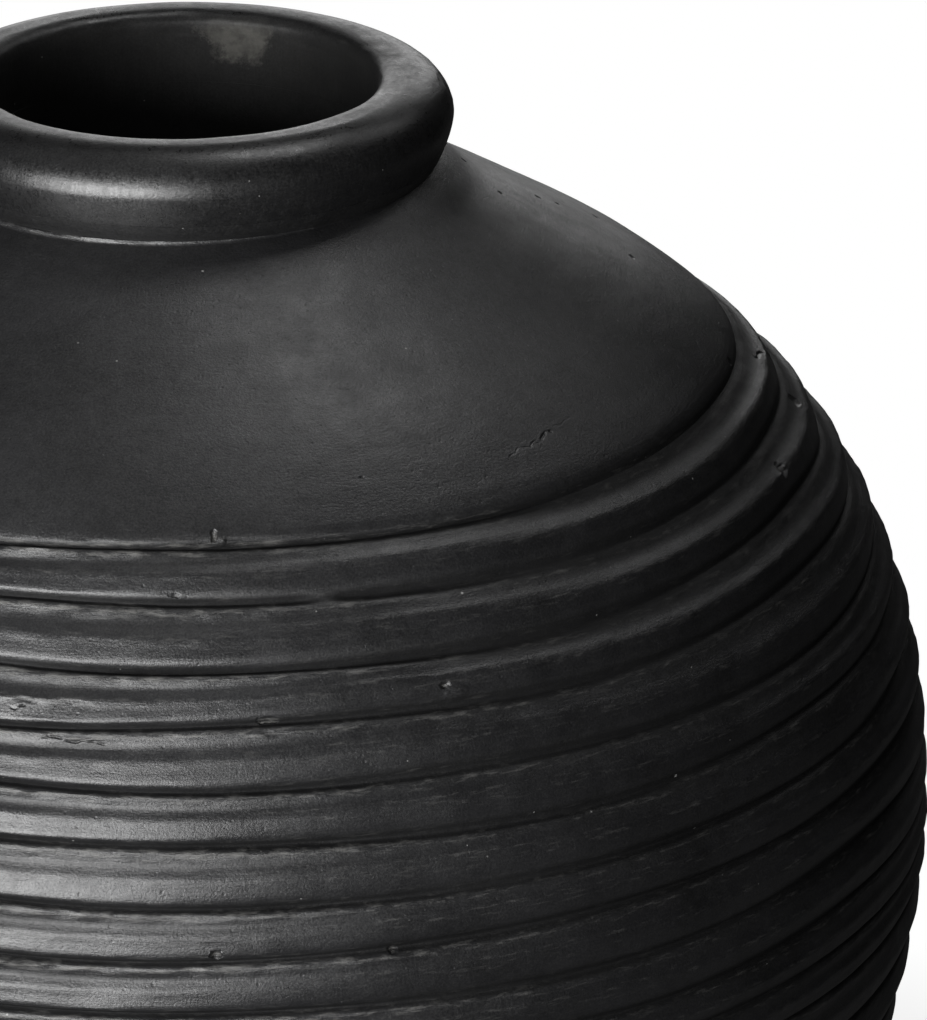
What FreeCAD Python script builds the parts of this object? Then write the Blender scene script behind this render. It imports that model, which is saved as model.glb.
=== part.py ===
import FreeCAD, Part
import math
import os
import re

import Sketcher

# A black hand-built jar: base slab, wall raised in three lifts, smooth shoulder, neck collar and rolled rim.
# Millimetres, +Z up, origin at the centre of the face that it stands on.

os.makedirs("parts", exist_ok=True)
document = FreeCAD.newDocument("ribbed_jar")

# Driving dimensions: name, value in millimetres, what it is. The two exponents are plain numbers.
SIZES = [
    ("belly_radius", 130.0, "greatest radius of the mean curve, midway between crests and grooves"),
    ("girth_height", 130.0, "height of the greatest radius above the ground"),
    ("foot_radius", 67.7, "radius at which the lower curve reaches the ground"),
    ("foot_exponent", 1.8, "fullness of the lower curve, 2 is an ellipse"),
    ("crown_rise", 97.2, "height from the girth up to the bend above which the shoulder runs straight"),
    ("bend_radius", 77.9, "radius of the upper curve at that bend"),
    ("crown_exponent", 2.34, "fullness of the upper curve, 2 is an ellipse"),
    ("dome_rise", 19.7, "height from the bend up to the crease between shoulder and neck"),
    ("wall_thickness", 7.0, "thickness of the fired wall"),
    ("slab_thickness", 9.0, "thickness of the base slab"),
    ("slab_edge_height", 2.0, "height of the worn bevel at the slab's lower edge"),
    ("slab_edge_inset", 2.0, "width of the same bevel, measured on the ground"),
    ("smooth_foot_height", 68.0, "height of the last groove, below which the foot is smooth"),
    ("smooth_shoulder_drop", 14.2, "depth of the first groove under the bend, the shoulder's smooth edge"),
    ("groove_depth", 1.4, "depth of a groove below the mean curve, measured level"),
    ("groove_flank", 0.9, "height of the rounded edge above the first groove and below the last"),
    ("bead_height", 1.1, "height of the narrow bead that a groove leaves on top of the rib below it"),
    ("bead_sink", 0.15, "how far the bead's lower edge lies inside the mean curve"),
    ("rib_rise", 0.6, "how far a rib's crest stands out from the mean curve"),
    ("collar_radius", 43.0, "outer radius of the neck collar"),
    ("collar_height", 3.6, "height of the neck collar between shoulder and roll"),
    ("neck_wall", 8.9, "thickness of the neck, from the collar's face in to the bore"),
    ("roll_height", 12.7, "height of the rolled rim"),
    ("roll_overhang", 4.2, "how far the roll stands out over the collar"),
    ("roll_girth_drop", 5.8, "how far the roll's widest line lies under its crest"),
    ("roll_crest_inset", 8.2, "level distance from the roll's widest line to its crest"),
    ("lip_edge_drop", 1.6, "how far the inner edge of the lip lies under the crest"),
]

# Grooves from the shoulder's edge down to the foot, as shares of the ribbed height. They are uneven by hand.
GROOVE_SHARES = [
    1.0, 0.949, 0.886, 0.830, 0.765, 0.706, 0.638, 0.579, 0.515,
    0.452, 0.399, 0.349, 0.283, 0.210, 0.140, 0.070, 0.0,
]
UPPER_RIB_COUNT = 9  # ribs on the upper lift, which ends at the groove under them
CREST_SHARE = 0.52  # where a rib's crest lies, from the groove above it to the groove below it

sheet = document.addObject("Spreadsheet::Sheet", "Sizes")
for row, (name, value, meaning) in enumerate(SIZES, start=1):
    sheet.set(f"A{row}", name)
    sheet.set(f"B{row}", str(value))
    sheet.set(f"C{row}", meaning)
    sheet.setAlias(f"B{row}", name)
document.recompute()

SIZE_NAMES = re.compile(r"\b(" + "|".join(name for name, value, meaning in SIZES) + r")\b")

# Heights and radii that follow from the sizes, as formulas, from the ground up
foot_reach = "(girth_height / pow(1 - pow(foot_radius / belly_radius; 2); 1 / foot_exponent))"
crown_reach = "(crown_rise / pow(1 - pow(bend_radius / belly_radius; 2); 1 / crown_exponent))"
bend_height = "(girth_height + crown_rise)"
shoulder_seam = "(girth_height + crown_rise - smooth_shoulder_drop)"
crease_height = "(girth_height + crown_rise + dome_rise)"
roll_foot = "(girth_height + crown_rise + dome_rise + collar_height)"
rim_height = "(girth_height + crown_rise + dome_rise + collar_height + roll_height)"
mouth_radius = "(collar_radius - neck_wall)"


def number(formula):
    """What a formula of sheet names comes to now."""
    return float(sheet.evalExpression(formula))


def between(low, high, share):
    return f"({low} + ({high} - {low}) * {share})"


def curve_radius(height, inset="0"):
    """Formula for the radius at a height of the jar's mean curve, or of the same curve set in by the wall."""
    above = number(height) > number("girth_height")
    reach, exponent = (crown_reach, "crown_exponent") if above else (foot_reach, "foot_exponent")
    drop = f"abs({height} - girth_height) / ({reach} - {inset})"
    return f"((belly_radius - {inset}) * sqrt(1 - pow({drop}; {exponent})))"


def outside(height):
    """Corner on the mean curve of the outer face."""
    return (curve_radius(height), height)


def inside(height):
    """Corner on the inner face of the wall."""
    return (curve_radius(height, "wall_thickness"), height)


def stretch(corner_at, start, end, steps):
    """Corners along a curved face, at even heights from start to end."""
    return [corner_at(between(start, end, round(step / steps, 4))) for step in range(steps + 1)]


def quarter(centre, width, height, steps, start_angle, end_angle):
    """Corners along part of an ellipse about a centre, without the first. Angles run from level outwards."""
    corners = []
    for step in range(1, steps + 1):
        angle = math.radians(start_angle + (end_angle - start_angle) * step / steps)
        radius = f"{centre[0]} + ({width}) * {math.cos(angle):.4f}"
        corners.append((radius, f"{centre[1]} + ({height}) * {math.sin(angle):.4f}"))
    return corners


def groove_height(index):
    return between("smooth_foot_height", shoulder_seam, GROOVE_SHARES[index])


def groove(index):
    """Corner at the bottom of a groove."""
    return (f"{curve_radius(groove_height(index))} - groove_depth", groove_height(index))


def ribs(first, last):
    """Corners of the outer face: from each groove a bead, a slope out to the crest and one back in."""
    corners = []
    for index in range(first, last):
        bead = f"({groove_height(index)} - bead_height)"
        crest = between(groove_height(index), groove_height(index + 1), CREST_SHARE)
        corners += [
            groove(index),
            (f"{curve_radius(bead)} - bead_sink", bead),
            (f"{curve_radius(crest)} + rib_rise", crest),
        ]
    return corners + [groove(last)]


def turned(name, corners):
    """A body turned about +Z from a closed outline, whose corners are formulas for radius and height."""
    body = document.addObject("PartDesign::Body", name)
    body.Label = name
    sketch = body.newObject("Sketcher::SketchObject", name + "_outline")
    plane = next(item for item in body.Origin.OriginFeatures if item.Role == "XZ_Plane")
    sketch.AttachmentSupport = (plane, "")
    sketch.MapMode = "FlatFace"

    points = [FreeCAD.Vector(number(radius), number(height), 0) for radius, height in corners]
    for start, end in zip(points, points[1:] + points[:1]):
        sketch.addGeometry(Part.LineSegment(start, end), False)
    # In constraints point 1 starts an edge and 2 ends it, edge -1 is the level axis and -2 the vertical one
    for edge, (radius, height) in enumerate(corners):
        following = (edge + 1) % len(corners)
        sketch.addConstraint(Sketcher.Constraint("Coincident", edge, 2, following, 1))
        for kind, axis_index, formula in (("DistanceX", -2, radius), ("DistanceY", -1, height)):
            if formula == "0":
                sketch.addConstraint(Sketcher.Constraint("PointOnObject", edge, 1, axis_index))
                continue
            tie = sketch.addConstraint(Sketcher.Constraint(kind, -1, 1, edge, 1, number(formula)))
            sketch.setExpression(f"Constraints[{tie}]", SIZE_NAMES.sub(r"Sizes.\1", formula))

    turn = body.newObject("PartDesign::Revolution", name + "_turn")
    turn.Profile = sketch
    turn.ReferenceAxis = (sketch, ["V_Axis"])
    turn.Angle = 360
    return body


# Base slab: a flat disc whose edge follows the jar's curve, bevelled where it meets the ground
turned("base_slab", [
    ("0", "0"),
    (f"{curve_radius('0')} - slab_edge_inset", "0"),
    outside("slab_edge_height"),
    outside("slab_thickness"),
    ("0", "slab_thickness"),
])

# First lift: the smooth foot on the slab, up to the last groove
last_groove = len(GROOVE_SHARES) - 1
turned(
    "foot_wall",
    [groove(last_groove)]
    + stretch(outside, "(smooth_foot_height - groove_flank)", "slab_thickness", 2)
    + stretch(inside, "slab_thickness", "smooth_foot_height", 2),
)

# Second lift: ribs up to the girth
girth_seam = groove_height(UPPER_RIB_COUNT)
turned(
    "lower_wall",
    ribs(UPPER_RIB_COUNT, last_groove) + stretch(inside, "smooth_foot_height", girth_seam, 2),
)

# Third lift: ribs from the girth to the edge of the shoulder
turned("belly_wall", ribs(0, UPPER_RIB_COUNT) + stretch(inside, girth_seam, shoulder_seam, 3))

# Shoulder: a smooth dome, straight above its bend, with a flat seat for the neck, pierced by the bore
turned(
    "shoulder_dome",
    [groove(0)]
    + stretch(outside, f"({shoulder_seam} + groove_flank)", bend_height, 2)
    + [("collar_radius", crease_height), (mouth_radius, crease_height)]
    + [(mouth_radius, f"{crease_height} - wall_thickness")]
    + stretch(inside, bend_height, shoulder_seam, 1),
)

# Neck: a short collar, seen only as the band in the crease under the roll
turned("neck_collar", [
    (mouth_radius, crease_height),
    ("collar_radius", crease_height),
    ("collar_radius", roll_foot),
    (mouth_radius, roll_foot),
])

# Rim: a fat roll of clay, round below, outside and above, with a firm edge at the bore
roll_girth = f"({rim_height} - roll_girth_drop)"
under_roll = ("collar_radius", roll_girth)
over_roll = ("(collar_radius + roll_overhang - roll_crest_inset)", roll_girth)
turned(
    "rim_roll",
    [(mouth_radius, roll_foot), ("collar_radius", roll_foot)]
    + quarter(under_roll, "roll_overhang", "roll_height - roll_girth_drop", 3, -90, 0)
    + quarter(over_roll, "roll_crest_inset", "roll_girth_drop", 4, 0, 90)
    + [(mouth_radius, f"{rim_height} - lip_edge_drop")],
)

document.recompute()

bodies = [item for item in document.Objects if item.TypeId == "PartDesign::Body"]
for item in document.Objects:
    if {"Invalid", "Error"} & set(item.State):
        raise RuntimeError(f"{item.Name} failed: {item.State}")
for body in bodies:
    if body.Shape.isNull() or not body.Shape.isValid() or len(body.Shape.Solids) != 1:
        raise RuntimeError(f"{body.Label} is not one valid solid")
for body in bodies:
    body.Shape.exportStep(f"parts/{body.Label}.step")
    print(body.Label, round(body.Shape.Volume / 1000, 1), "cubic centimetres")
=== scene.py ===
import math
from itertools import product
from types import SimpleNamespace

import bmesh
import bpy
import numpy as np
from mathutils import Matrix, Vector


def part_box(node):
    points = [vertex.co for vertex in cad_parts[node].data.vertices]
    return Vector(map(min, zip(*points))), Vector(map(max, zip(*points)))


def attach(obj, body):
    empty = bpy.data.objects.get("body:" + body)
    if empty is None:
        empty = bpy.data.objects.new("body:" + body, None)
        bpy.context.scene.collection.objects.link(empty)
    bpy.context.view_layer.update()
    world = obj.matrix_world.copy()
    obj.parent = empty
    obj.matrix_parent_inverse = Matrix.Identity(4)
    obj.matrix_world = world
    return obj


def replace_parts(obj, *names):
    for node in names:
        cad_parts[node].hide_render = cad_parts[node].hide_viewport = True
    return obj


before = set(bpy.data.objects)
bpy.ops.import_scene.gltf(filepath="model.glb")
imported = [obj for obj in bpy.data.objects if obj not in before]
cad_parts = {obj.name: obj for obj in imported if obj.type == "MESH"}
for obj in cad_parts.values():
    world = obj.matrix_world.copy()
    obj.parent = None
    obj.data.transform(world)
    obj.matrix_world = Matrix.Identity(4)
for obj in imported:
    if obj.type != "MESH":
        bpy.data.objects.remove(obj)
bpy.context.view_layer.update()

# A ribbed black clay jar, in metres. An azimuth runs from the front, -Y, towards +X.

MM = 0.001

# Driving dimensions of the jar's mean curve
GIRTH_HEIGHT = 130 * MM
FOOT_RADIUS = 67.7 * MM
FOOT_EXPONENT = 1.8
CROWN_RISE = 97.2 * MM
BEND_RADIUS = 77.9 * MM
CROWN_EXPONENT = 2.34
DOME_BULGE = 0.35 * MM
WALL_THICKNESS = 7 * MM
RIB_RISE = 0.6 * MM
NECK_WALL = 8.9 * MM
ROLL_GIRTH_DROP = 7.2 * MM
ROLL_CREST_INSET = 8.2 * MM
CREASE_RISE = 2.4 * MM
SLAB_EDGE = 2 * MM

# The part of the turn that the front view shows, in degrees, and how coarse or fine curves are worked out
FRONT_FROM, FRONT_TO = -25, 100
SECTION_STEPS = 801
SECTION_ROUNDING = 25
NORMAL_REACH = 0.35 * MM

# Where the grooves rise, dip and rise again, and where the ribs lean: middle and width in degrees of azimuth
RISE, DIP, SECOND_RISE, LEAN = (-26, 17), (38, 18), (72, 12), (24, 21)

# Relief of torn edges, depth at which a groove's painted shade is full, and height of a filled rib's hollow
TORN_RELIEF = 0.28 * MM
DARK_DEPTH = 0.65 * MM
EDGE_DARK_DEPTH = 0.9 * MM
HOLLOW_FILL = 0.45 * MM

# How far the rim strays from a circle, in millimetres, and the seed of the clay's unevenness
RIM_SWAY = 0.22
CLAY_SEED = 11

# The rest of the places come from the frame
BELLY_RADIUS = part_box("lower_wall")[1].x - RIB_RISE
SLAB_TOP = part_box("base_slab")[1].z
FOOT_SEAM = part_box("foot_wall")[1].z
GIRTH_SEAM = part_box("lower_wall")[1].z
SHOULDER_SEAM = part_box("belly_wall")[1].z
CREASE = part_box("shoulder_dome")[1].z
ROLL_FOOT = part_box("neck_collar")[1].z
RIM_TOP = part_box("rim_roll")[1].z
COLLAR_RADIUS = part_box("neck_collar")[1].x
ROLL_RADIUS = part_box("rim_roll")[1].x
BORE_RADIUS = COLLAR_RADIUS - NECK_WALL
BEND_HEIGHT = GIRTH_HEIGHT + CROWN_RISE
FOOT_REACH = GIRTH_HEIGHT / (1 - (FOOT_RADIUS / BELLY_RADIUS) ** 2) ** (1 / FOOT_EXPONENT)
CROWN_REACH = CROWN_RISE / (1 - (BEND_RADIUS / BELLY_RADIUS) ** 2) ** (1 / CROWN_EXPONENT)

# Grooves from the shoulder's edge down to the foot, as shares of the ribbed height
GROOVE_SHARES = [
    1.0, 0.949, 0.886, 0.830, 0.765, 0.706, 0.638, 0.579, 0.515,
    0.452, 0.399, 0.349, 0.283, 0.210, 0.140, 0.070, 0.0,
]
UPPER_RIB_COUNT = 9

# How far each groove rises on the left and dips on the right of the front, in millimetres
GROOVE_SWAYS = [
    (-0.7, 0.4), (-0.2, 1.0), (1.3, 0.7), (0.3, 0.5), (0.9, 0.8), (0.8, 1.5), (1.7, 0.9), (1.2, 0.3),
    (1.0, 0.9), (0.9, 0.6), (0.6, 0.8), (0.5, 0.4), (0.8, 0.7), (0.3, 0.5), (0.6, 0.4), (0.4, 0.3),
    (0.0, 0.0),
]

# Section of a rib from groove to groove: share of the rib, height over the mean curve in millimetres.
# Ribs are crisp, with a bead and a lip, where the tool was held flat. They lean where it was tilted, and are
# round farther to the right.
CRISP_SECTION = [
    (0.0, -1.15), (0.022, -1.05), (0.042, -0.5), (0.062, 0.0), (0.09, 0.26), (0.12, 0.32), (0.18, 0.13),
    (0.24, -0.12), (0.3, -0.4), (0.34, -0.45), (0.4, -0.2), (0.46, 0.14), (0.52, 0.42), (0.56, 0.44),
    (0.61, 0.38), (0.68, 0.4), (0.78, 0.5), (0.86, 0.57), (0.895, 0.5), (0.92, 0.28), (0.945, -0.2),
    (0.972, -0.85), (1.0, -1.15),
]
ROUND_SECTION = [
    (0.0, -1.5), (0.05, -1.42), (0.1, -1.15), (0.2, -0.72), (0.3, -0.28), (0.4, 0.18), (0.48, 0.52),
    (0.52, 0.6), (0.57, 0.52), (0.68, 0.15), (0.79, -0.38), (0.88, -0.95), (0.94, -1.35), (1.0, -1.5),
]
LEANING_SECTION = [
    (0.0, -1.5), (0.035, -1.35), (0.07, -0.8), (0.1, -0.35), (0.14, -0.1), (0.22, 0.1), (0.31, 0.38),
    (0.38, 0.62), (0.42, 0.63), (0.48, 0.5), (0.6, 0.36), (0.72, 0.22), (0.79, 0.02), (0.85, -0.42),
    (0.91, -1.1), (0.96, -1.45), (1.0, -1.5),
]
# Where a rib's rows of vertices lie, as shares of the rib
RIB_ROWS = [
    0, 0.022, 0.045, 0.07, 0.105, 0.145, 0.2, 0.26, 0.32, 0.38, 0.44,
    0.5, 0.56, 0.63, 0.71, 0.79, 0.86, 0.9, 0.93, 0.955, 0.98,
]


# Large odd numbers that scramble a lattice corner and a seed into a random value
CORNER_FACTORS = np.array([73856093, 19349663, 83492791])
SEED_FACTOR, MIX_FACTOR = 2654435761, 1274126177


def lattice_noise(points, seed):
    """Smooth noise between -1 and 1, with one random value at each corner of a unit lattice."""
    cell = np.floor(points).astype(np.int64)
    part = points - cell
    ease = part * part * (3 - 2 * part)
    total = np.zeros(len(points))
    for corner in product((0, 1), repeat=3):
        key = (cell + np.array(corner)) @ CORNER_FACTORS + seed * SEED_FACTOR
        key = (key ^ (key >> 13)) * MIX_FACTOR & 0x7FFFFFFF
        value = ((key ^ (key >> 16)) & 0xFFFF) / 32767.5 - 1
        total += value * np.prod(np.where(corner, ease, 1 - ease), axis=1)
    return total


def ripple(azimuth, seed, slowest, fastest):
    """A random wander around the jar, about one in size."""
    random = np.random.default_rng(seed)
    total = np.zeros_like(azimuth)
    for wave in range(slowest, fastest + 1):
        total += random.normal() * np.cos(wave * azimuth + random.uniform(0, 2 * math.pi))
    return total / math.sqrt(fastest - slowest + 1)


def mean_radius(height):
    """Radius of the jar's mean outer curve at a height."""
    upper = height > GIRTH_HEIGHT
    reach = np.where(upper, CROWN_REACH, FOOT_REACH)
    exponent = np.where(upper, CROWN_EXPONENT, FOOT_EXPONENT)
    share = np.clip(np.abs(height - GIRTH_HEIGHT) / reach, 0, 1)
    curved = BELLY_RADIUS * np.sqrt(1 - share ** exponent)
    along = np.clip((height - BEND_HEIGHT) / (CREASE - BEND_HEIGHT), 0, 1)
    straight = BEND_RADIUS + (COLLAR_RADIUS - BEND_RADIUS) * along + DOME_BULGE * np.sin(math.pi * along)
    return np.where(height > BEND_HEIGHT, straight, curved)


def mean_normal(height):
    """Level and upward part of the normal of the mean curve."""
    step = 0.2 * MM
    slope = (mean_radius(height + step) - mean_radius(height - step)) / (2 * step)
    length = np.sqrt(1 + slope * slope)
    return 1 / length, -slope / length


def inner_radius(height):
    """Radius of the wall's inner face, which follows the outer one and turns up to the bore."""
    level, up = mean_normal(np.clip(height, SLAB_TOP, BEND_HEIGHT))
    within = mean_radius(height) - WALL_THICKNESS / np.maximum(level, 0.35)
    return np.maximum(within, BORE_RADIUS)


def bell(values, centre, width):
    return np.exp(-((values - centre) / width) ** 2)


def groove_height(index, azimuth):
    """Height of a groove at each azimuth: its mean height, its sway at the front and a small wander."""
    mean = FOOT_SEAM + (SHOULDER_SEAM - FOOT_SEAM) * GROOVE_SHARES[index]
    rise, dip = GROOVE_SWAYS[index]
    degrees = np.degrees(azimuth)
    sway = rise * bell(degrees, *RISE) - dip * bell(degrees, *DIP) + 0.4 * bell(degrees, *SECOND_RISE)
    ends = 0.25 if index in (0, len(GROOVE_SHARES) - 1) else 0.55
    return mean + (sway + ends * ripple(azimuth, 40 + index, 1, 7)) * MM


def rib_section(share, corners):
    """Height over the mean curve across a rib, with its corners rounded a little."""
    places, heights = np.array(corners).T
    fine = np.linspace(0, 1, SECTION_STEPS)
    even = np.interp(fine, places, heights)
    kernel = np.hanning(SECTION_ROUNDING)
    margin = SECTION_ROUNDING // 2
    padded = np.concatenate([even[:margin][::-1], even, even[-margin:][::-1]])
    return np.interp(share, fine, np.convolve(padded, kernel / kernel.sum(), "valid")) * MM


def roundness(azimuth, row):
    """How round the ribs are, 0 to 1: most to the right of the front and high up, elsewhere in patches."""
    degrees = np.degrees(azimuth)
    right = np.interp(degrees, [-25, 12, 42, 95, 130, 335], [0.0, 0.1, 0.8, 0.95, 0.4, 0.0])
    high = np.interp(row, [0, 4, 8, 16], [1.0, 0.85, 0.6, 0.45])
    patches = 0.18 * ripple(azimuth + 0.15 * row, 63, 2, 9)
    return np.clip(right * high + patches, 0, 1)


def clay(points, size, seed):
    """Unevenness left by hands and tools: slow swells and fine drag marks along the turning direction."""
    swell = lattice_noise(points / (26 * MM), seed) + 0.45 * lattice_noise(points / (9 * MM), seed + 1)
    drag = lattice_noise(points / (np.array([7, 7, 1.3]) * MM), seed + 2)
    return size * (swell + 0.22 * drag)


def on_axis(azimuth, radius, height):
    return np.stack([radius * np.sin(azimuth), -radius * np.cos(azimuth), height], axis=1)


# Each part of the jar places a vertex from its azimuth and its row. It gives the point's radius and height,
# the level and upward part of its normal, how deep it lies in a groove, which sets the painted shade there,
# and how scuffed it is, which also takes in painted highlight lines (both 0 to 1).


def place_rib(azimuth, row):
    index = np.clip(np.floor(row).astype(int), 0, len(GROOVE_SHARES) - 2)
    share = row - index
    upper = np.zeros_like(row)
    lower = np.zeros_like(row)
    depth = np.zeros_like(row)
    for line in range(len(GROOVE_SHARES)):
        above, below = index == line, index == line - 1
        if not (above.any() or below.any()):
            continue
        near = above | below
        height = groove_height(line, azimuth[near])
        strength = groove_strength(line, azimuth[near])
        upper[above] = height[above[near]]
        lower[below] = height[below[near]]
        near_line = np.where(above, 1 - share, share)[near]
        depth[near] += strength * near_line
    height = upper + (lower - upper) * share
    level, up = mean_normal(height)
    soft = roundness(azimuth, row)
    crisp = rib_section(share, CRISP_SECTION)
    filled = np.interp(row, [4, 9], [0.0, 0.22]) + 0.25 * ripple(azimuth + 0.4 * index, 65, 1, 8)
    crisp = crisp + HOLLOW_FILL * np.clip(filled, 0, 1) * bell(share, 0.33, 0.11)
    leaning = 0.9 * bell(np.degrees(azimuth), *LEAN)
    crisp = crisp * (1 - leaning) + rib_section(share, LEANING_SECTION) * leaning
    raised = (crisp * (1 - soft) + rib_section(share, ROUND_SECTION) * soft) * depth
    radius = mean_radius(height) + raised * level
    height = height + raised * up
    # How deep a point lies in a groove, which sets the painted shade there
    deep = np.clip(-raised / DARK_DEPTH, 0, 1)
    edges = bell(share, 0.13, 0.09) + 0.3 * bell(share, 0.9, 0.05) + 0.35 * bell(share, 0.55, 0.1)
    # The pale lines along the crests of round and of leaning ribs are painted highlight
    edges = edges * scuff_strength(azimuth) + 0.6 * soft * bell(share, 0.525, 0.035)
    edges = edges + 0.9 * leaning * (1 - soft) * bell(share, 0.4, 0.03)
    return radius, height, level, up, deep, np.clip(edges, 0, 1)


def scuff_strength(azimuth):
    """How torn the ribs' edges are, 0 to 1: most to the left of the front."""
    degrees = np.degrees(azimuth)
    left = np.interp(degrees, [-25, 0, 30, 100, 160, 335], [1.0, 0.8, 0.45, 0.35, 0.6, 1.0])
    return np.clip(left * (1 + 0.3 * ripple(azimuth, 64, 3, 11)), 0, 1)


def groove_strength(index, azimuth):
    """How deep a groove is cut at each azimuth, about one. The second groove nearly fades at one place."""
    strength = 1 + 0.2 * ripple(azimuth, 80 + index, 1, 14) - 0.012 * index
    if index == 1:
        strength = strength - 0.6 * bell(np.degrees(azimuth), 12.5, 1.6)
    return np.clip(strength, 0.25, 1.4)


def place_dome(azimuth, row):
    edge = groove_height(0, azimuth)
    height = edge + (CREASE - edge) * row
    level, up = mean_normal(np.clip(height, 0, CREASE - 0.3 * MM))
    fillet = CREASE_RISE * (0.5 - 0.5 * np.cos(azimuth + math.radians(80))) ** 2
    fillet = fillet * bell(CREASE - height, 0, 3.2 * MM)
    from_groove = (height - edge) / level / MM
    from_crease = (CREASE - height) / level / MM
    strength = groove_strength(0, azimuth)
    crisp_edge = np.interp(from_groove, [0, 0.2, 0.45, 0.8, 1.3, 2.2], [-1.3, -1.15, -0.6, -0.2, -0.05, 0])
    round_edge = np.interp(from_groove, [0, 0.4, 0.9, 1.6, 2.6, 4], [-1.5, -1.35, -0.9, -0.4, -0.12, 0])
    soft = roundness(azimuth, np.zeros_like(row))
    edge_drop = crisp_edge * (1 - soft) + round_edge * soft
    across_bead, bead_heights = [0, 0.15, 0.35, 0.6, 1.0, 2.4, 5], [-0.05, 0.34, 0.38, 0.04, -0.16, -0.12, 0]
    bead = np.interp(from_crease, across_bead, bead_heights)
    raised = (edge_drop * strength + bead) * MM
    radius = mean_radius(height) + raised * level
    deep = np.clip(-raised / EDGE_DARK_DEPTH, 0, 1)
    # Rubbed near the groove; the pale line on the crease's bead is partly rubbing, partly painted highlight
    scuffed_and_highlit = 0.8 * bell(from_groove, 0.6, 0.5) * scuff_strength(azimuth) + 0.5 * bell(from_crease, 0.5, 0.4)
    return radius, height + raised * up + fillet, level, up, deep, scuffed_and_highlit


def place_foot(azimuth, row):
    edge = groove_height(len(GROOVE_SHARES) - 1, azimuth)
    height = SLAB_TOP + (edge - SLAB_TOP) * row
    level, up = mean_normal(height)
    from_groove = (edge - height) / MM
    raised = np.interp(from_groove, [0, 0.2, 0.5, 0.9, 1.6], [-1.3, -1.15, -0.6, -0.15, 0]) * MM
    raised = raised * groove_strength(len(GROOVE_SHARES) - 1, azimuth)
    radius = mean_radius(height) + raised * level
    deep = np.clip(-raised / EDGE_DARK_DEPTH, 0, 1)
    return radius, height + raised * up, level, up, deep, np.zeros_like(row)


def along_section(section, row):
    """Places rows, numbered along a section of (radius, height) points, with the section's own normals."""
    radii, heights = np.array(section).T
    lengths = np.concatenate([[0], np.cumsum(np.hypot(np.diff(radii), np.diff(heights)))])
    at = row * lengths[-1]
    radius, height = np.interp(at, lengths, radii), np.interp(at, lengths, heights)
    ahead, behind = np.minimum(at + NORMAL_REACH, lengths[-1]), np.maximum(at - NORMAL_REACH, 0)
    run = np.interp(ahead, lengths, radii) - np.interp(behind, lengths, radii)
    rise = np.interp(ahead, lengths, heights) - np.interp(behind, lengths, heights)
    length = np.hypot(run, rise)
    return radius, height, rise / length, -run / length


def ellipse(centre, width, height, start, end, steps):
    """Points along part of an ellipse. Angles are in degrees from level outwards."""
    angles = np.radians(np.linspace(start, end, steps))
    return [(centre[0] + width * math.cos(a), centre[1] + height * math.sin(a)) for a in angles]


ROLL_GIRTH = RIM_TOP - ROLL_GIRTH_DROP
CREST_CENTRE = (ROLL_RADIUS - ROLL_CREST_INSET, ROLL_GIRTH)
LIP_WIDTH = CREST_CENTRE[0] - BORE_RADIUS
LIP_HEIGHT = 3.6 * MM
LIP_FULLNESS = 3.2
UNDER_FULLNESS = 1.4


def under_roll(low, high, steps):
    """Points up the roll's underside, which curls in from its girth down to the crease."""
    points = []
    for height in np.linspace(low, high, steps):
        share = (ROLL_GIRTH - height) / (ROLL_GIRTH - CREASE)
        reach = (1 - min(share, 1) ** UNDER_FULLNESS) ** (1 / UNDER_FULLNESS)
        points.append((COLLAR_RADIUS + (ROLL_RADIUS - COLLAR_RADIUS) * reach, float(height)))
    return points


def over_lip(steps):
    """Points from the roll's crest over the lip's rounded inner edge and down to the bore."""
    points = []
    for angle in np.linspace(0, math.pi / 2, steps)[1:]:
        inwards = LIP_WIDTH * math.sin(angle) ** (2 / LIP_FULLNESS)
        fall = LIP_HEIGHT * (1 - math.cos(angle) ** (2 / LIP_FULLNESS))
        points.append((CREST_CENTRE[0] - inwards, RIM_TOP - fall))
    return points


ROLL_SECTION = (
    under_roll(ROLL_FOOT, ROLL_GIRTH, 30)
    + ellipse(CREST_CENTRE, ROLL_CREST_INSET, ROLL_GIRTH_DROP, 0, 90, 40)[1:]
    + over_lip(30)
    + [(BORE_RADIUS, ROLL_FOOT)]
)
COLLAR_SECTION = under_roll(CREASE, ROLL_FOOT, 24)
SLAB_SECTION = (
    [(0.0, 0.0), (FOOT_RADIUS - SLAB_EDGE - 1 * MM, 0.0)]
    + ellipse((FOOT_RADIUS - SLAB_EDGE, SLAB_EDGE), SLAB_EDGE + 0.5 * MM, SLAB_EDGE, -80, -10, 8)
    + [(float(mean_radius(np.array(z))), z) for z in np.linspace(SLAB_EDGE * 1.2, SLAB_TOP, 8)]
)


def rim_sway(azimuth):
    return RIM_SWAY * ripple(azimuth, 7, 2, 6) * MM


def place_roll(azimuth, row):
    radius, height, level, up = along_section(ROLL_SECTION, row)
    lip = bell(radius / MM, BORE_RADIUS / MM + 0.8, 0.8) * (height > RIM_TOP - 4 * MM)
    radius = radius + rim_sway(azimuth) - 0.12 * MM * lip * ripple(azimuth, 9, 5, 24)
    brushed = bell(np.degrees(azimuth), 105, 30) * (height > ROLL_GIRTH) * (radius > BORE_RADIUS + 2 * MM)
    # The lip's inner edge is pale partly from rubbing and partly as painted highlight; the top to the right
    # is brushed
    return radius, height, level, up, np.zeros_like(row), np.clip(0.25 * lip + 0.22 * brushed, 0, 1)


def place_collar(azimuth, row):
    radius, height, level, up = along_section(COLLAR_SECTION, row)
    # Its groove value of 0.4 paints shade on the band under the roll
    return radius + rim_sway(azimuth) * row, height, level, up, np.full_like(row, 0.4), np.zeros_like(row)


def place_slab(azimuth, row):
    radius, height, level, up = along_section(SLAB_SECTION, row)
    return radius, height, level, up, np.zeros_like(row), bell(height, 0, 3 * MM)


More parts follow.
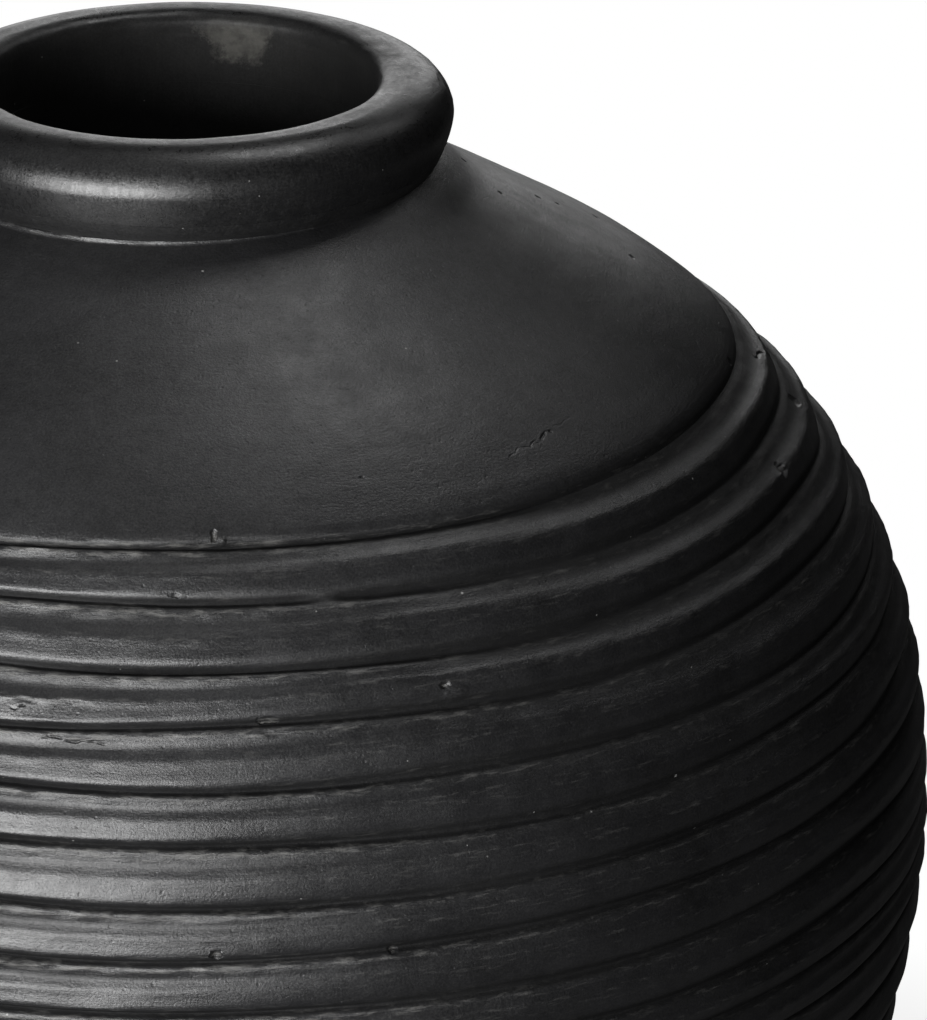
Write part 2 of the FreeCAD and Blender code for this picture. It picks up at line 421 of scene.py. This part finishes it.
# Flaws that the jar shows, on its outer face: azimuth and height of the centre, half width, half height and
# depth. Azimuths are in degrees, the rest in millimetres. A negative depth is a lump. Those from 110 to 335
# degrees, on the hidden side, are guessed.
CHIPS = [
    (2.6, 214.1, 0.5, 1.0, 1.0),
    (3.5, 213.5, 0.5, 0.45, -0.3),
    (6.2, 189.2, 1.6, 0.5, 0.7),
    (21.3, 191.4, 0.8, 0.6, 0.7),
    (22.2, 190.1, 1.9, 1.3, -0.16),
    (1.6, 153.1, 0.9, 0.8, 1.1),
    (14.8, 151.6, 0.8, 0.6, 0.6),
    (81.5, 214.3, 0.8, 0.7, 0.6),
    (88.0, 203.0, 1.6, 1.2, 0.6),
    (70.9, 201.6, 1.4, 1.4, 0.7),
    (19.0, 219.6, 0.5, 0.25, 0.25),
    (-1.2, 206.6, 0.9, 0.4, 0.4),
    (99.2, 243.4, 0.7, 0.5, 0.4),
    (90.5, 240.3, 0.6, 0.4, 0.3),
    (100.7, 235.7, 0.7, 0.5, 0.4),
    (102.6, 233.4, 0.5, 0.4, 0.3),
    (106.8, 228.4, 1.2, 0.5, 0.4),
    (93.0, 227.0, 0.9, 0.5, 0.3),
    (160.0, 205.0, 1.4, 0.8, 0.7),
    (205.0, 168.0, 1.1, 0.9, 0.7),
    (248.0, 213.4, 1.0, 1.0, 0.7),
    (292.0, 186.0, 1.5, 0.6, 0.6),
    (318.0, 134.0, 1.0, 0.8, 0.7),
]

# Cracks and drag marks: points of azimuth and height, then half width and depth
CRACKS = [
    ([(36.6, 218.7), (38.4, 219.2), (39.6, 219.0), (40.8, 219.5)], 0.12, 0.2),
    ([(41.6, 219.3), (42.8, 220.0), (43.8, 220.1)], 0.2, 0.4),
    ([(43.8, 220.1), (47.5, 220.6)], 0.1, 0.12),
    ([(88.7, 210.4), (91.0, 209.6), (93.5, 207.6)], 0.3, 0.6),
    ([(-11.3, 187.0), (-9.6, 186.2), (-8.0, 186.4), (-6.4, 185.9)], 0.2, 0.4),
    ([(-15.9, 191.0), (-14.6, 190.6), (-13.2, 191.0), (-12.2, 190.2)], 0.2, 0.4),
    ([(-9.6, 191.2), (-10.0, 190.2), (-11.0, 189.8)], 0.18, 0.4),
    ([(170.0, 222.0), (173.0, 221.2), (176.0, 221.6)], 0.18, 0.3),
    ([(262.0, 217.5), (265.0, 218.4), (267.5, 218.0)], 0.2, 0.3),
]


def surface_axes(azimuth_degrees, height_mm):
    """A point of the mean surface, with its level and its steep direction."""
    azimuth = math.radians(azimuth_degrees)
    height = np.array([height_mm * MM])
    level, up = (float(part[0]) for part in mean_normal(height))
    centre = on_axis(np.array([azimuth]), mean_radius(height), height)[0]
    sideways = np.array([math.cos(azimuth), math.sin(azimuth), 0])
    steep = np.array([-up * math.sin(azimuth), up * math.cos(azimuth), level])
    return centre, sideways, steep


def flaw_depth(points):
    """How far flaws press the surface in at each point."""
    depth = np.zeros(len(points))
    for number, (azimuth, height, wide, tall, deep) in enumerate(CHIPS):
        centre, sideways, steep = surface_axes(azimuth, height)
        offset = points - centre
        near = np.linalg.norm(offset, axis=1) < 3 * max(wide, tall) * MM
        if not near.any():
            continue
        ragged = 0.3 * lattice_noise(points[near] / (0.55 * MM), 300 + number)
        across, along = offset[near] @ sideways / (wide * MM), offset[near] @ steep / (tall * MM)
        away = np.hypot(across, along) + ragged
        bowl = np.clip(1.2 - away, 0, 1) / 1.2
        depth[near] += deep * MM * bowl * (2 - bowl)
    for number, (places, wide, deep) in enumerate(CRACKS):
        corners = [surface_axes(*place)[0] for place in places]
        middle = sum(corners) / len(corners)
        close = np.linalg.norm(points - middle, axis=1) < 12 * MM
        if not close.any():
            continue
        seeds = range(400 + 3 * number, 403 + 3 * number)
        wander = np.stack([lattice_noise(points[close] / (1.1 * MM), seed) for seed in seeds], axis=1)
        spots = points[close] + 0.35 * MM * wander
        strength = np.clip(0.75 + 0.6 * lattice_noise(points[close] / (0.9 * MM), 500 + number), 0.1, 1)
        nearest = np.full(len(spots), 1.0)
        for start, end in zip(corners, corners[1:]):
            run = end - start
            share = np.clip((spots - start) @ run / (run @ run), 0, 1)
            nearest = np.minimum(nearest, np.linalg.norm(spots - start - share[:, None] * run, axis=1))
        depth[close] += deep * MM * strength * np.exp(-(nearest / (wide * MM)) ** 2)
    return depth


def flaw_spots():
    """Where the mesh has to be finer: centre and reach."""
    spots = [(surface_axes(a, h)[0], 1.5 * max(w, t) * MM, min(w, t) * MM / 3) for a, h, w, t, d in CHIPS]
    for places, wide, deep in CRACKS:
        corners = [surface_axes(*place)[0] for place in places]
        for start, end in zip(corners, corners[1:]):
            steps = max(1, round(np.linalg.norm(end - start) / MM))
            for step in range(steps + 1):
                spots.append((start + (end - start) * step / steps, 1.1 * MM, wide * MM / 1.6))
    return spots


def azimuths(front_count, back_count):
    """Columns around the jar, closer together on the side that the front view shows."""
    start, turn, end = (math.radians(degrees) for degrees in (FRONT_FROM, FRONT_TO, FRONT_FROM + 360))
    front = np.linspace(start, turn, front_count, endpoint=False)
    back = np.linspace(turn, end, back_count, endpoint=False)
    return np.concatenate([front, back])


def position(place, azimuth, row, unevenness):
    """Points of a part's outer face with the clay's unevenness, torn edges and flaws, inside the CAD box."""
    radius, height, level, up, deep, scuffed_and_highlit = place(azimuth, row)
    points = on_axis(azimuth, radius, height)
    torn = lattice_noise(points / (np.array([3.4, 3.4, 0.8]) * MM), 61)
    torn += 0.6 * lattice_noise(points / (np.array([1.7, 1.7, 0.45]) * MM), 62)
    flaws = flaw_depth(points)
    offset = clay(points, unevenness, CLAY_SEED) + TORN_RELIEF * scuffed_and_highlit * torn - flaws
    scuffed_and_highlit = np.maximum(scuffed_and_highlit, np.clip(np.abs(flaws) / (0.5 * MM), 0, 1))
    normal = on_axis(azimuth, level, up)
    points = points + normal * offset[:, None]
    beyond = np.hypot(points[:, 0], points[:, 1]) / (BELLY_RADIUS + RIB_RISE - 0.01 * MM)
    points[:, :2] /= np.maximum(beyond, 1)[:, None]
    points[:, 2] = np.clip(points[:, 2], 0, RIM_TOP)
    return points, deep, scuffed_and_highlit


def refined(place, columns, rows, finest):
    """The lattice of azimuths and rows, split finer wherever a flaw lies. Gives its points and faces."""
    mesh = bmesh.new()
    grid = [[mesh.verts.new((azimuth, row, 0)) for azimuth in columns] for row in rows]
    for lower, upper in zip(grid, grid[1:]):
        for column in range(len(columns)):
            following = (column + 1) % len(columns)
            mesh.faces.new((lower[column], lower[following], upper[following], upper[column]))
    spots = flaw_spots()
    for level in range(finest):
        cell, margin = 1.6 * MM / 2 ** level, 1.2 * MM / 2 ** level
        mesh.verts.index_update()
        flat = np.array([vertex.co[:2] for vertex in mesh.verts])
        radius, height = place(flat[:, 0], flat[:, 1])[:2]
        points = on_axis(flat[:, 0], radius, height)
        near = np.zeros(len(points), bool)
        for centre, reach, size in spots:
            if cell > size:
                near |= np.linalg.norm(points - centre, axis=1) < reach + margin
        faces = [face for face in mesh.faces if any(near[vertex.index] for vertex in face.verts)]
        edges = {edge for face in faces for edge in face.edges if not edge.is_boundary}
        if edges:
            bmesh.ops.subdivide_edges(mesh, edges=list(edges), cuts=1, use_grid_fill=True)
    mesh.verts.index_update()
    flat = np.array([vertex.co[:2] for vertex in mesh.verts])
    faces = [[vertex.index for vertex in face.verts] for face in mesh.faces]
    border = []
    for row in (flat[:, 1].min(), flat[:, 1].max()):
        line = np.flatnonzero(flat[:, 1] == row)
        border.append(line[np.argsort(flat[line, 0])].tolist())
    mesh.free()
    return flat, faces, border if rows[0] < rows[-1] else border[::-1]


def make_piece(
    name, node, place, columns, rows, inner=(), unevenness=0.1, finest=0, solid=False, polish=0.0,
):
    """A closed piece: its outer lattice, then rings of (radius, height) back along its inner face.

    A solid piece has no inner face. Its first and last rings are capped instead. Unevenness is in
    millimetres, and finest is how often the cells at a flaw are halved.
    """
    flat, faces, (bottom, top) = refined(place, columns, rows, finest)
    points, deep, scuffed_and_highlit = position(place, flat[:, 0], flat[:, 1], unevenness * MM)
    hidden = np.zeros(len(points))
    rings = [top]
    count = len(points)
    extra = []
    for radius, height in inner:
        rings.append(list(range(count, count + len(columns))))
        extra.append(on_axis(columns, np.full(len(columns), radius), np.full(len(columns), height)))
        count += len(columns)
    if extra:
        within = np.concatenate(extra)
        level = on_axis(np.tile(columns, len(inner)), np.full(len(within), 1.0), np.zeros(len(within)))
        soft = clay(within, 0.15 * MM, CLAY_SEED + 50)
        edge = np.zeros(len(within))
        edge[len(columns):-len(columns)] = 1
        within = within + level * (soft * edge)[:, None]
        points = np.concatenate([points, within])
        deep = np.concatenate([deep, np.zeros(len(within))])
        scuffed_and_highlit = np.concatenate([scuffed_and_highlit, np.zeros(len(within))])
        hidden = np.concatenate([hidden, np.ones(len(within))])
    rings += [] if solid else [bottom]
    for lower, upper in zip(rings, rings[1:]):
        for column in range(len(columns)):
            following = (column + 1) % len(columns)
            faces.append([lower[column], lower[following], upper[following], upper[column]])
    if solid:
        faces += [bottom[::-1], top]
    data = bpy.data.meshes.new(name)
    data.from_pydata(points.tolist(), [], faces)
    if not solid:
        from_bore = (np.hypot(points[:, 0], points[:, 1]) - BORE_RADIUS) / MM
        from_top = (RIM_TOP - points[:, 2]) / MM
        shaded = np.clip((2.6 - from_bore) / 1.8, 0, 1) * np.clip((from_top - 0.2) / 2.4, 0, 1)
        hidden = np.maximum(hidden, shaded)
    polished = np.full(len(points), polish)
    for label, values in (("groove", deep), ("scuff_and_highlight", scuffed_and_highlit), ("inside", hidden), ("polish", polished)):
        layer = data.attributes.new(label, "FLOAT", "POINT")
        layer.data.foreach_set("value", values.astype(np.float32))
    data.validate()
    data.shade_smooth()
    data.set_sharp_from_angle(angle=math.radians(50))
    piece = bpy.data.objects.new(name, data)
    bpy.context.scene.collection.objects.link(piece)
    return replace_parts(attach(piece, "root"), node)


def inner_rings(high, low, count):
    """Rings down the inner face of the wall, from one height to another."""
    heights = np.linspace(high, low, count)
    return [(float(inner_radius(np.array(height))), float(height)) for height in heights]


def rib_rows(first, last):
    rows = [index + share for index in range(first, last) for share in RIB_ROWS]
    return np.array(rows + [last], float)


def build_pieces():
    """The jar's seven pieces: those of burnished clay, then those of bare clay."""
    fine, medium, coarse = azimuths(230, 215), azimuths(200, 220), azimuths(140, 180)
    belly = make_piece(
        "belly_ribs", "belly_wall", place_rib, fine, rib_rows(0, UPPER_RIB_COUNT)[::-1],
        inner_rings(SHOULDER_SEAM, GIRTH_SEAM, 14), unevenness=0.10, finest=3,
    )
    lower = make_piece(
        "lower_ribs", "lower_wall", place_rib, fine,
        rib_rows(UPPER_RIB_COUNT, len(GROOVE_SHARES) - 1)[::-1],
        inner_rings(GIRTH_SEAM, FOOT_SEAM, 12), unevenness=0.10, finest=3,
    )
    foot = make_piece(
        "smooth_foot", "foot_wall", place_foot, medium,
        np.concatenate([np.linspace(0, 0.96, 60, endpoint=False), np.linspace(0.96, 1, 12)]),
        inner_rings(FOOT_SEAM, SLAB_TOP, 10), unevenness=0.12,
    )
    dome_rows = [np.linspace(0, 0.06, 12)[:-1], np.linspace(0.06, 0.94, 74), np.linspace(0.94, 1, 22)[1:]]
    seat = [CREASE, CREASE - 0.4 * WALL_THICKNESS, CREASE - WALL_THICKNESS]
    dome = make_piece(
        "smooth_shoulder", "shoulder_dome", place_dome, fine,
        np.concatenate(dome_rows),
        [(BORE_RADIUS, height) for height in seat] + inner_rings(BEND_HEIGHT, SHOULDER_SEAM, 6),
        unevenness=0.13, finest=3,
    )
    collar = make_piece(
        "neck_band", "neck_collar", place_collar, medium, np.linspace(0, 1, 16),
        [(BORE_RADIUS, ROLL_FOOT), (BORE_RADIUS, CREASE)], unevenness=0.05, polish=1.0,
    )
    roll = make_piece(
        "rolled_rim", "rim_roll", place_roll, fine, np.linspace(0, 1, 110),
        unevenness=0.10, polish=1.0,
    )
    slab = make_piece(
        "base_disc", "base_slab", place_slab, coarse, np.linspace(0.002, 1, 90),
        unevenness=0.05, solid=True,
    )
    return [belly, lower, foot, dome, collar, roll], [slab]


# Materials


def add(tree, kind, inputs=None, **settings):
    """Adds a shader node. An input is a value, or a socket to link."""
    made = tree.nodes.new(kind)
    for name, value in settings.items():
        setattr(made, name, value)
    for name, value in (inputs or {}).items():
        if isinstance(value, bpy.types.NodeSocket):
            tree.links.new(value, made.inputs[name])
        else:
            made.inputs[name].default_value = value
    return made


def noise(tree, vector, cells_per_metre, detail=3.0, roughness=0.5):
    inputs = {"Vector": vector, "Scale": cells_per_metre, "Detail": detail, "Roughness": roughness}
    return add(tree, "ShaderNodeTexNoise", inputs).outputs["Fac"]


def ramp(tree, value, low, high, start=0.0, end=1.0):
    inputs = {"Value": value, "From Min": low, "From Max": high, "To Min": start, "To Max": end}
    return add(tree, "ShaderNodeMapRange", inputs).outputs["Result"]


def calc(tree, operation, first, second, clamp=False):
    made = add(tree, "ShaderNodeMath", {0: first, 1: second}, operation=operation)
    made.use_clamp = clamp
    return made.outputs[0]


def blend_colours(tree, factor, first, second):
    made = add(tree, "ShaderNodeMix", data_type="RGBA")
    for socket, value in ((made.inputs["Factor"], factor), (made.inputs[6], first), (made.inputs[7], second)):
        if isinstance(value, bpy.types.NodeSocket):
            tree.links.new(value, socket)
        else:
            socket.default_value = value
    return made.outputs[2]


PATCH_AZIMUTH = math.radians(163)
PALE_PATCH = (
    BORE_RADIUS * math.sin(PATCH_AZIMUTH),
    -BORE_RADIUS * math.cos(PATCH_AZIMUTH),
    RIM_TOP - 2.5 * MM,
)


# Linear colours of the clay's details, with painted shade for grooves and a grey for rubbed edges and painted
# highlights
GROOVE_PAINTED_SHADE = (0.006, 0.006, 0.006, 1)
POLISHED_BLACK = (0.003, 0.003, 0.003, 1)
RUBBED_AND_HIGHLIGHT_GREY = (0.11, 0.108, 0.103, 1)
INSIDE_BLACK = (0.009, 0.009, 0.009, 1)
SCRAPED_BLACK = (0.013, 0.013, 0.0125, 1)
PATCH_GREY = (0.075, 0.073, 0.066, 1)
SPECK_GREY = (0.17, 0.17, 0.165, 1)


def attribute(tree, name):
    return add(tree, "ShaderNodeAttribute", attribute_name=name).outputs["Fac"]


def skin_sockets(tree):
    """What the steps of the clay's skin share: coordinates, the pieces' own attributes and noises."""
    here = add(tree, "ShaderNodeTexCoord").outputs["Object"]
    banded = add(tree, "ShaderNodeMapping", {"Vector": here, "Scale": (1, 1, 7)}).outputs["Vector"]
    upright = add(tree, "ShaderNodeMapping", {"Vector": here, "Scale": (1, 1, 0.12)}).outputs["Vector"]
    # The scuff attribute holds worn edges and chips, and painted highlight lines
    scuff_and_highlight = attribute(tree, "scuff_and_highlight")
    worn = calc(tree, "ADD", noise(tree, banded, 260, 5, 0.7), calc(tree, "MULTIPLY", scuff_and_highlight, 0.12))
    return SimpleNamespace(
        here=here,
        banded=banded,
        upright=upright,
        groove=attribute(tree, "groove"),
        scuff_and_highlight=scuff_and_highlight,
        polish=attribute(tree, "polish"),
        inside=attribute(tree, "inside"),
        mottle=noise(tree, here, 420, 4, 0.6),
        streaks=noise(tree, banded, 500, 3, 0.6),
        grit=noise(tree, here, 2600, 3, 0.7),
        rubbed_and_highlit=calc(tree, "MULTIPLY", ramp(tree, worn, 0.56, 0.76), ramp(tree, scuff_and_highlight, 0.0, 1.0, 0.05, 1.0)),
    )


def inside_colour(tree, skin):
    """The unpolished inside, with a pale patch on the far side of the mouth."""
    scraped = ramp(tree, noise(tree, skin.here, 60, 6, 0.7), 0.42, 0.66)
    colour = blend_colours(tree, scraped, INSIDE_BLACK, SCRAPED_BLACK)
    from_patch = add(tree, "ShaderNodeVectorMath", {0: skin.here, 1: PALE_PATCH}, operation="DISTANCE")
    frayed = calc(tree, "MULTIPLY", noise(tree, skin.here, 180, 6, 0.8), 11 * MM)
    patchy = calc(tree, "ADD", from_patch.outputs["Value"], frayed)
    patch = ramp(tree, patchy, 12.5 * MM, 10.5 * MM)
    patch = calc(tree, "MULTIPLY", patch, ramp(tree, skin.mottle, 0.35, 0.6, 0.45, 1.0))
    patch = calc(tree, "MULTIPLY", patch, skin.inside)
    return blend_colours(tree, patch, colour, PATCH_GREY)


def speck_share(tree, skin):
    """Where the rare pale specks lie, 0 to 1."""
    grains = add(tree, "ShaderNodeTexVoronoi", {"Vector": skin.here, "Scale": 620.0, "Randomness": 1.0})
    lots = add(tree, "ShaderNodeSeparateColor", {0: grains.outputs["Color"]})
    ragged = calc(tree, "ADD", grains.outputs["Distance"], ramp(tree, skin.mottle, 0.3, 0.7, -0.06, 0.06))
    ragged = calc(tree, "ADD", ragged, ramp(tree, lots.outputs[2], 0.0, 1.0, -0.02, 0.1))
    return calc(tree, "MULTIPLY", ramp(tree, ragged, 0.15, 0.07), ramp(tree, lots.outputs[0], 0.955, 0.975))


def skin_colour(tree, skin, dark, light):
    """Cloudy black with painted shade in grooves and under the roll, darker where polished, with specks and
    rubbed edges, partly painted highlights.
    """
    clouds = noise(tree, skin.here, 45, 5, 0.6)
    tone = ramp(tree, calc(tree, "ADD", clouds, calc(tree, "MULTIPLY", skin.mottle, 0.3)), 0.4, 0.9)
    colour = blend_colours(tree, tone, (*dark, 1), (*light, 1))
    # Painted shade: the deeper a point lies in a groove, the darker it is painted
    colour = blend_colours(tree, calc(tree, "MULTIPLY", skin.groove, 0.6), colour, GROOVE_PAINTED_SHADE)
    colour = blend_colours(tree, calc(tree, "MULTIPLY", skin.polish, 0.6), colour, POLISHED_BLACK)
    # Rubbed grey: worn edges and chips, and painted highlight lines on rib crests, the crease's bead and the
    # lip
    colour = blend_colours(tree, calc(tree, "MULTIPLY", skin.rubbed_and_highlit, 0.7), colour, RUBBED_AND_HIGHLIGHT_GREY)
    colour = blend_colours(tree, skin.inside, colour, inside_colour(tree, skin))
    return blend_colours(tree, speck_share(tree, skin), colour, SPECK_GREY)


def skin_roughness(tree, skin, low, high):
    """Blotches, streaks and grit, duller on rubbed edges and painted highlight lines, in grooves and inside,
    and brushed where polished.
    """
    blotch = noise(tree, skin.here, 110, 4, 0.6)
    uneven = calc(tree, "ADD", blotch, calc(tree, "MULTIPLY", skin.streaks, 0.5))
    rough = ramp(tree, uneven, 0.5, 1.0, low, high)
    rough = calc(tree, "ADD", rough, ramp(tree, skin.grit, 0.3, 0.7, -0.06, 0.06))
    rough = calc(tree, "ADD", rough, calc(tree, "MULTIPLY", skin.rubbed_and_highlit, 0.2))
    rough = calc(tree, "ADD", rough, calc(tree, "MULTIPLY", skin.groove, 0.25))
    brushed = ramp(tree, noise(tree, skin.upright, 1700, 3, 0.6), 0.35, 0.65, 0.08, -0.03)
    rough = calc(tree, "SUBTRACT", rough, calc(tree, "MULTIPLY", skin.polish, brushed))
    return calc(tree, "ADD", rough, calc(tree, "MULTIPLY", skin.inside, 0.3), clamp=True)


def skin_relief(tree, skin):
    """Fine relief: streaks, hairs, mottle, pores, torn edges and grit."""
    hairs = noise(tree, skin.upright, 900, 2, 0.6)
    cells = add(tree, "ShaderNodeTexVoronoi", {"Vector": skin.here, "Scale": 900.0, "Randomness": 1.0})
    lots = add(tree, "ShaderNodeSeparateColor", {0: cells.outputs["Color"]})
    chosen = ramp(tree, lots.outputs[1], 0.86, 0.9)
    pores = calc(tree, "MULTIPLY", ramp(tree, cells.outputs["Distance"], 0.1, 0.32, -1.6, 0.0), chosen)
    raggedness = ramp(tree, skin.scuff_and_highlight, 0.0, 1.0, 0.2, 3.0)
    torn = calc(tree, "MULTIPLY", noise(tree, skin.banded, 330, 5, 0.75), raggedness)
    height = calc(tree, "MULTIPLY", skin.streaks, 0.6)
    for relief, share in ((hairs, 0.35), (skin.mottle, 0.5), (pores, 0.4), (torn, 1.0), (skin.grit, 1.1)):
        height = calc(tree, "ADD", height, calc(tree, "MULTIPLY", relief, share))
    strength = ramp(tree, skin.polish, 0.0, 1.0, 0.5, 0.2)
    inputs = {"Height": height, "Strength": strength, "Distance": 0.12 * MM}
    return add(tree, "ShaderNodeBump", inputs).outputs["Normal"]


def skin_sheen(tree, skin):
    """Grainy specular level, weak in grooves and inside."""
    grain = calc(tree, "MULTIPLY", skin.grit, 0.8)
    grain = calc(tree, "ADD", grain, calc(tree, "MULTIPLY", skin.mottle, 0.2))
    sheen = ramp(tree, grain, 0.32, 0.68, 0.3, 0.75)
    sheen = calc(tree, "MULTIPLY", sheen, ramp(tree, skin.groove, 0.15, 1.0, 1.0, 0.25))
    return calc(tree, "MULTIPLY", sheen, ramp(tree, skin.inside, 0.0, 1.0, 1.0, 0.45))


def clay_material(name, dark, light, gloss_low, gloss_high):
    """Black clay whose colour and roughness each lie between two values."""
    material = bpy.data.materials.new(name)
    material.use_nodes = True
    tree = material.node_tree
    tree.nodes.clear()
    skin = skin_sockets(tree)
    shader = add(tree, "ShaderNodeBsdfPrincipled", {
        "Base Color": skin_colour(tree, skin, dark, light),
        "Roughness": skin_roughness(tree, skin, gloss_low, gloss_high),
        "Normal": skin_relief(tree, skin),
        "Specular IOR Level": skin_sheen(tree, skin),
        "IOR": 1.5,
    })
    add(tree, "ShaderNodeOutputMaterial", {"Surface": shader.outputs[0]})
    return material


def floor_material():
    """A pale floor, dim to all but the camera, which sees it white with the jar's shadow near the jar."""
    material = bpy.data.materials.new("pale_floor")
    material.use_nodes = True
    tree = material.node_tree
    tree.nodes.clear()
    seen = add(tree, "ShaderNodeLightPath").outputs["Is Camera Ray"]
    here = add(tree, "ShaderNodeTexCoord").outputs["Object"]
    away = add(tree, "ShaderNodeVectorMath", {0: here}, operation="LENGTH").outputs["Value"]
    tone = blend_colours(tree, seen, (0.08, 0.08, 0.08, 1), (0.9, 0.9, 0.9, 1))
    pale = add(tree, "ShaderNodeBsdfDiffuse", {"Color": tone})
    glow = add(tree, "ShaderNodeEmission", {"Color": (1, 1, 1, 1), "Strength": 1.0})
    share = calc(tree, "MULTIPLY", seen, ramp(tree, away, 0.12, 0.27, 0.35, 1.0))
    mixed = add(tree, "ShaderNodeMixShader", {0: share, 1: pale.outputs[0], 2: glow.outputs[0]})
    add(tree, "ShaderNodeOutputMaterial", {"Surface": mixed.outputs[0]})
    return material


def build_floor():
    mesh = bmesh.new()
    bmesh.ops.create_circle(mesh, cap_ends=True, radius=4.0, segments=96)
    data = bpy.data.meshes.new("floor")
    mesh.to_mesh(data)
    mesh.free()
    floor = bpy.data.objects.new("floor", data)
    bpy.context.scene.collection.objects.link(floor)
    data.materials.append(floor_material())


# Light and camera


AIM_HEIGHT = 0.2


def softbox(name, azimuth, elevation, distance, width, height, radiance, lean=None):
    """A rectangular soft light, placed by its direction from a point on the jar's axis at AIM_HEIGHT.

    It faces that point, or leans to the given elevation. Radiance is what its face shows.
    """
    light = bpy.data.lights.new(name, "AREA")
    light.shape = "RECTANGLE"
    light.size, light.size_y = width, height
    light.energy = 4 * radiance * width * height
    made = bpy.data.objects.new(name, light)
    bpy.context.scene.collection.objects.link(made)
    turn = Matrix.Rotation(math.radians(azimuth), 3, "Z")

    def outward(angle):
        return turn @ Vector((0, -math.cos(math.radians(angle)), math.sin(math.radians(angle))))

    made.location = Vector((0, 0, AIM_HEIGHT)) + outward(elevation) * distance
    made.rotation_mode = "QUATERNION"
    made.rotation_quaternion = outward(elevation if lean is None else lean).to_track_quat("Z", "Y")
    made.visible_camera = False


def light_scene():
    # Name, azimuth and elevation in degrees, distance, width and height in metres, radiance
    softbox("front_left_softbox", -31, 4, 0.75, 0.7, 0.45, 12.2, lean=0)
    softbox("upper_left_softbox", -20, 26, 1.2, 0.3, 0.16, 2.6)
    softbox("overhead_softbox", 131, 70, 1.3, 0.46, 0.34, 4.9)
    softbox("wide_overhead_softbox", -60, 74, 1.4, 1.6, 1.6, 0.24)
    softbox("front_fill_softbox", 16, 12, 1.4, 1.0, 0.8, 0.28)
    softbox("back_right_softbox", 128, 42, 1.4, 0.45, 0.28, 1.25)
    softbox("backdrop_light", 180, 13, 1.6, 1.1, 0.7, 1.35)
    world = bpy.data.worlds.new("studio")
    bpy.context.scene.world = world
    world.use_nodes = True
    tree = world.node_tree
    tree.nodes.clear()
    seen = add(tree, "ShaderNodeLightPath").outputs["Is Camera Ray"]
    dim = add(tree, "ShaderNodeBackground", {"Color": (1, 1, 1, 1), "Strength": 0.012})
    white = add(tree, "ShaderNodeBackground", {"Color": (1, 1, 1, 1), "Strength": 1.0})
    mixed = add(tree, "ShaderNodeMixShader", {0: seen, 1: dim.outputs[0], 2: white.outputs[0]})
    add(tree, "ShaderNodeOutputWorld", {"Surface": mixed.outputs[0]})


# The photograph's frame and camera, fitted to its rim ellipses, silhouette and grooves
FRAME_WIDTH, FRAME_HEIGHT = 927, 1020
CAMERA_DISTANCE = 1.6014
CAMERA_ELEVATION = math.radians(20.37)
CAMERA_ROLL = math.radians(0.84)
TARGET_HEIGHT = 0.18906
TARGET_PIXEL = (187.1, 471.5)
FOCAL_PIXELS = 9139.1
SENSOR_WIDTH = 36.0


def place_camera():
    """Puts the point on the axis at TARGET_HEIGHT on its pixel of the photograph, without lens shift."""
    data = bpy.data.cameras.new("photo_camera")
    data.sensor_width = SENSOR_WIDTH
    data.lens = FOCAL_PIXELS * SENSOR_WIDTH / FRAME_HEIGHT
    data.clip_start, data.clip_end = 0.05, 50
    camera = bpy.data.objects.new("photo_camera", data)
    bpy.context.scene.collection.objects.link(camera)
    forward = Vector((0, math.cos(CAMERA_ELEVATION), -math.sin(CAMERA_ELEVATION)))
    location = Vector((0, 0, TARGET_HEIGHT)) - forward * CAMERA_DISTANCE
    right = Vector((1, 0, 0))
    up = right.cross(forward)
    across = (TARGET_PIXEL[0] - FRAME_WIDTH / 2) / FOCAL_PIXELS
    above = (FRAME_HEIGHT / 2 - TARGET_PIXEL[1]) / FOCAL_PIXELS
    turn = Matrix.Rotation(math.atan(across), 3, up)
    forward, right = turn @ forward, turn @ right
    tip = Matrix.Rotation(-math.atan(above / math.hypot(1, across)), 3, right)
    forward, up = tip @ forward, tip @ up
    roll = Matrix.Rotation(CAMERA_ROLL, 3, forward)
    right, up = roll @ right, roll @ up
    axes = Matrix((right, up, -forward)).transposed().to_4x4()
    camera.matrix_world = Matrix.Translation(location) @ axes
    bpy.context.scene.camera = camera


burnished_pieces, bare_pieces = build_pieces()
burnished_tones = (0.0042, 0.0042, 0.0045), (0.0105, 0.0105, 0.0112)
bare_tones = (0.03, 0.029, 0.028), (0.065, 0.062, 0.058)
burnished_clay = clay_material("burnished_black_clay", *burnished_tones, 0.3, 0.46)
bare_clay = clay_material("bare_black_clay", *bare_tones, 0.6, 0.85)
for piece in burnished_pieces:
    piece.data.materials.append(burnished_clay)
for piece in bare_pieces:
    piece.data.materials.append(bare_clay)
build_floor()
light_scene()
place_camera()
bpy.context.scene.view_settings.view_transform = "Standard"
